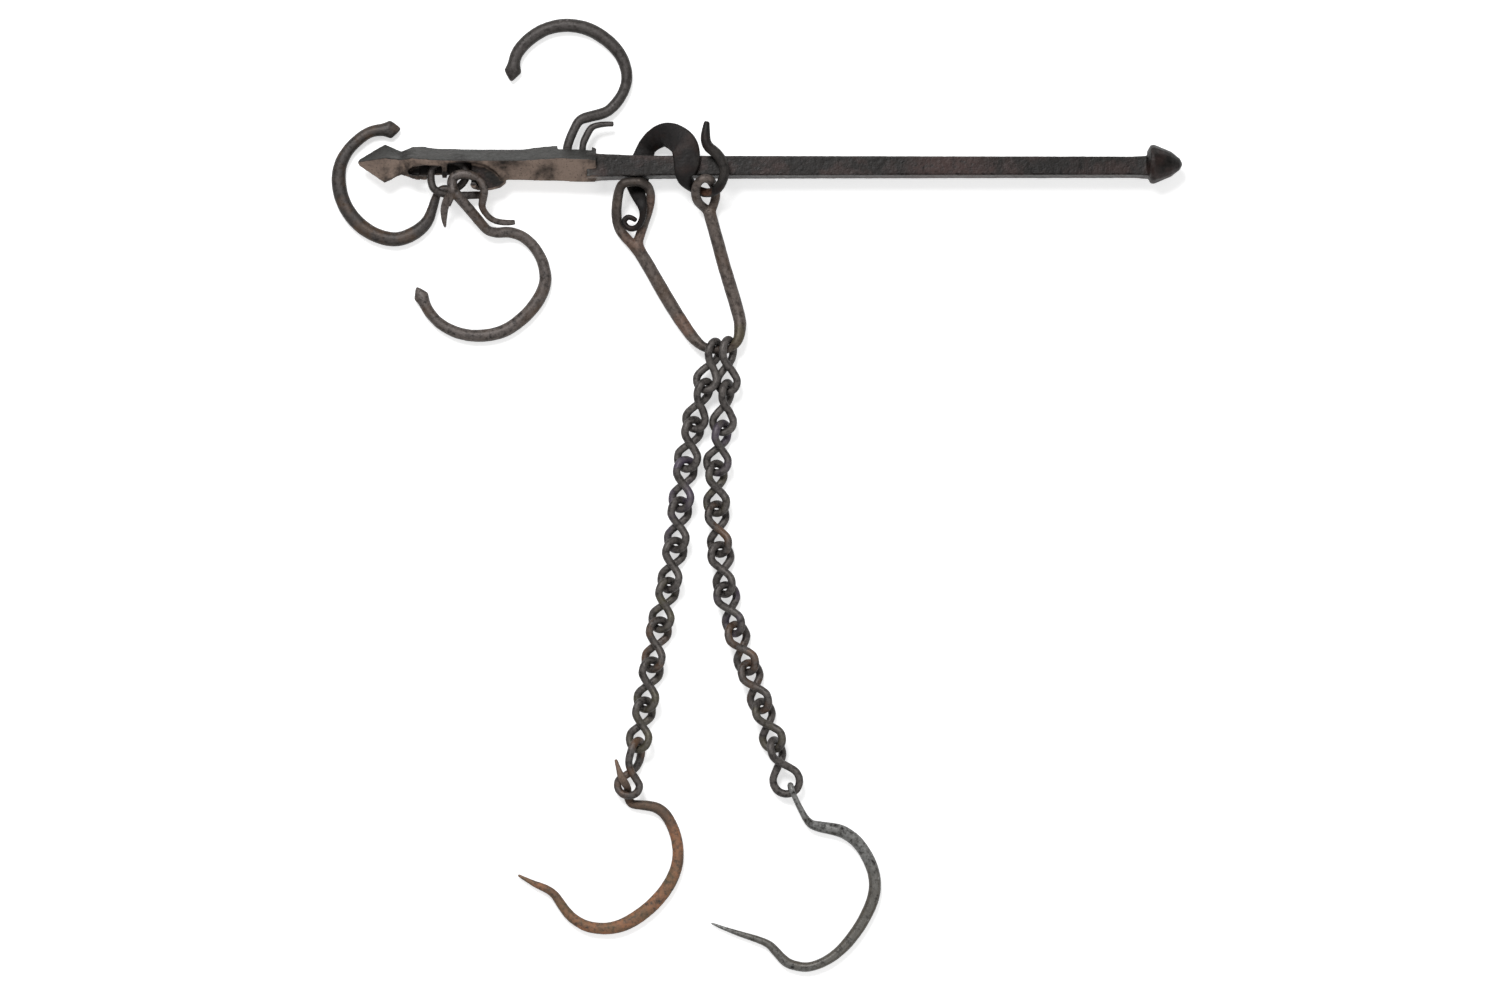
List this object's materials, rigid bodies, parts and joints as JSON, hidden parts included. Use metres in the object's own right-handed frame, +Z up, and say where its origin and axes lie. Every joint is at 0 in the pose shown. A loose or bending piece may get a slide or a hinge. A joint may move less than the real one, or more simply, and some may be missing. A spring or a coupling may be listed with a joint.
{
  "type": "steelyard balance",
  "caption": "Hand-forged steelyard: a stepped iron beam with fulcrum hooks, a sliding collar and a shackle with looped chains that end in load hooks.",
  "frame": {"origin": "centre of the bounding box in plan, on the flat ground the balance lies on", "axes": "+X along the beam towards its knob, +Y across the beam from the load hooks to the beam, +Z up from the ground"},
  "size_m": [0.4675, 0.5244, 0.0234],
  "materials": {
    "beam_iron": "hammered wrought iron with a dark grey-brown skin of age",
    "hanger_iron": "hammered wrought iron, dark grey with brown patches",
    "collar_iron": "bent wrought iron strip, nearly black",
    "shackle_iron": "forged wrought iron rod, warm grey-brown",
    "chain_iron": "forge-welded iron wire, dark grey-brown with olive patches",
    "left_load_hook_iron": "forged iron with an orange-brown rust skin",
    "right_load_hook_iron": "forged iron, grey with an olive-brown lower half"
  },
  "bodies": {
    "beam": {"beam": "beam_iron"},
    "hook_a": {"hook_a": "hanger_iron"},
    "hook_b": {"hook_b": "hanger_iron"},
    "hook_c": {"hook_c": "hanger_iron"},
    "collar": {"collar": "collar_iron"},
    "v_shackle": {"v_shackle": "shackle_iron"},
    "link_l1": {"link_l1": "chain_iron"},
    "link_l2": {"link_l2": "chain_iron"},
    "link_l3": {"link_l3": "chain_iron"},
    "link_l4": {"link_l4": "chain_iron"},
    "link_l5": {"link_l5": "chain_iron"},
    "link_l6": {"link_l6": "chain_iron"},
    "link_l7": {"link_l7": "chain_iron"},
    "link_l8": {"link_l8": "chain_iron"},
    "link_l9": {"link_l9": "chain_iron"},
    "link_l10": {"link_l10": "chain_iron"},
    "link_l11": {"link_l11": "chain_iron"},
    "load_hook_left": {"load_hook_left": "left_load_hook_iron"},
    "link_r1": {"link_r1": "chain_iron"},
    "link_r2": {"link_r2": "chain_iron"},
    "link_r3": {"link_r3": "chain_iron"},
    "link_r4": {"link_r4": "chain_iron"},
    "link_r5": {"link_r5": "chain_iron"},
    "link_r6": {"link_r6": "chain_iron"},
    "link_r7": {"link_r7": "chain_iron"},
    "link_r8": {"link_r8": "chain_iron"},
    "link_r9": {"link_r9": "chain_iron"},
    "link_r10": {"link_r10": "chain_iron"},
    "link_r11": {"link_r11": "chain_iron"},
    "load_hook_right": {"load_hook_right": "right_load_hook_iron"}
  },
  "joints": [
    {"name": "hook_a_swing", "type": "hinge", "parent": "beam", "child": "hook_a", "pos_m": [-0.1711, 0.1785, 0.011], "axis": [0, 0, 1], "range_deg": [-25, 4]},
    {"name": "hook_b_swing", "type": "hinge", "parent": "beam", "child": "hook_b", "pos_m": [-0.1551, 0.1702, 0.0165], "axis": [0, 0, 1], "range_deg": [-10, 25]},
    {"name": "hook_c_swing", "type": "hinge", "parent": "beam", "child": "hook_c", "pos_m": [-0.0996, 0.1874, 0.0093], "axis": [0, 0, 1], "range_deg": [-20, 25]},
    {"name": "collar_slide", "type": "slide", "parent": "beam", "child": "collar", "axis": [1, 0, 0], "range_m": [-0.006, 0.22]},
    {"name": "v_shackle_swing", "type": "hinge", "parent": "collar", "child": "v_shackle", "pos_m": [-0.04758, 0.16253, 0.014], "axis": [-1, 0, 0], "range_deg": [-9, 4]},
    {"name": "link_l1_swing", "type": "hinge", "parent": "v_shackle", "child": "link_l1", "pos_m": [-0.0232, 0.0799, 0.0077], "axis": [0, 0, 1], "range_deg": [-7, 0.8]},
    {"name": "link_l2_swing", "type": "hinge", "parent": "link_l1", "child": "link_l2", "pos_m": [-0.0282, 0.06056, 0.0098], "axis": [0, 0, 1], "range_deg": [-12, 3]},
    {"name": "link_l3_swing", "type": "hinge", "parent": "link_l2", "child": "link_l3", "pos_m": [-0.03436, 0.03908, 0.00639], "axis": [0, 0, 1], "range_deg": [-12, 4]},
    {"name": "link_l4_swing", "type": "hinge", "parent": "link_l3", "child": "link_l4", "pos_m": [-0.03863, 0.01714, 0.00583], "axis": [0, 0, 1], "range_deg": [-12, 4]},
    {"name": "link_l5_swing", "type": "hinge", "parent": "link_l4", "child": "link_l5", "pos_m": [-0.04174, -0.00499, 0.0059], "axis": [0, 0, 1], "range_deg": [-12, 4]},
    {"name": "link_l6_swing", "type": "hinge", "parent": "link_l5", "child": "link_l6", "pos_m": [-0.04427, -0.0272, 0.00567], "axis": [0, 0, 1], "range_deg": [-12, 4]},
    {"name": "link_l7_swing", "type": "hinge", "parent": "link_l6", "child": "link_l7", "pos_m": [-0.04815, -0.04921, 0.00605], "axis": [0, 0, 1], "range_deg": [-12, 4]},
    {"name": "link_l8_swing", "type": "hinge", "parent": "link_l7", "child": "link_l8", "pos_m": [-0.05299, -0.07103, 0.00535], "axis": [0, 0, 1], "range_deg": [-12, 4]},
    {"name": "link_l9_swing", "type": "hinge", "parent": "link_l8", "child": "link_l9", "pos_m": [-0.05725, -0.09297, 0.00597], "axis": [0, 0, 1], "range_deg": [-12, 4]},
    {"name": "link_l10_swing", "type": "hinge", "parent": "link_l9", "child": "link_l10", "pos_m": [-0.06113, -0.11498, 0.00612], "axis": [0, 0, 1], "range_deg": [-12, 4]},
    {"name": "link_l11_swing", "type": "hinge", "parent": "link_l10", "child": "link_l11", "pos_m": [-0.0652, -0.13696, 0.00718], "axis": [0, 0, 1], "range_deg": [-12, 4]},
    {"name": "load_hook_left_swing", "type": "hinge", "parent": "link_l11", "child": "load_hook_left", "pos_m": [-0.0716, -0.16467, 0.0064], "axis": [0, 0, 1], "range_deg": [-10, 6]},
    {"name": "link_r1_swing", "type": "hinge", "parent": "v_shackle", "child": "link_r1", "pos_m": [-0.0156, 0.0807, 0.0083], "axis": [0, 0, 1], "range_deg": [-0.8, 12]},
    {"name": "link_r2_swing", "type": "hinge", "parent": "link_r1", "child": "link_r2", "pos_m": [-0.01616, 0.05936, 0.00735], "axis": [0, 0, 1], "range_deg": [-3, 12]},
    {"name": "link_r3_swing", "type": "hinge", "parent": "link_r2", "child": "link_r3", "pos_m": [-0.01869, 0.03716, 0.00693], "axis": [0, 0, 1], "range_deg": [-4, 12]},
    {"name": "link_r4_swing", "type": "hinge", "parent": "link_r3", "child": "link_r4", "pos_m": [-0.02199, 0.01505, 0.00639], "axis": [0, 0, 1], "range_deg": [-4, 4]},
    {"name": "link_r5_swing", "type": "hinge", "parent": "link_r4", "child": "link_r5", "pos_m": [-0.02199, -0.0073, 0.00575], "axis": [0, 0, 1], "range_deg": [-4, 8]},
    {"name": "link_r6_swing", "type": "hinge", "parent": "link_r5", "child": "link_r6", "pos_m": [-0.02004, -0.02956, 0.00559], "axis": [0, 0, 1], "range_deg": [-4, 10]},
    {"name": "link_r7_swing", "type": "hinge", "parent": "link_r6", "child": "link_r7", "pos_m": [-0.01732, -0.05175, 0.00626], "axis": [0, 0, 1], "range_deg": [-4, 12]},
    {"name": "link_r8_swing", "type": "hinge", "parent": "link_r7", "child": "link_r8", "pos_m": [-0.01172, -0.07338, 0.00626], "axis": [0, 0, 1], "range_deg": [-4, 12]},
    {"name": "link_r9_swing", "type": "hinge", "parent": "link_r8", "child": "link_r9", "pos_m": [-0.00445, -0.09452, 0.00567], "axis": [0, 0, 1], "range_deg": [-4, 12]},
    {"name": "link_r10_swing", "type": "hinge", "parent": "link_r9", "child": "link_r10", "pos_m": [0.00283, -0.11565, 0.00626], "axis": [0, 0, 1], "range_deg": [-4, 12]},
    {"name": "link_r11_swing", "type": "hinge", "parent": "link_r10", "child": "link_r11", "pos_m": [0.00992, -0.13684, 0.00718], "axis": [0, 0, 1], "range_deg": [-4, 12]},
    {"name": "load_hook_right_swing", "type": "hinge", "parent": "link_r11", "child": "load_hook_right", "pos_m": [0.01862, -0.16363, 0.006], "axis": [0, 0, 1], "range_deg": [-1.5, 30]}
  ]
}
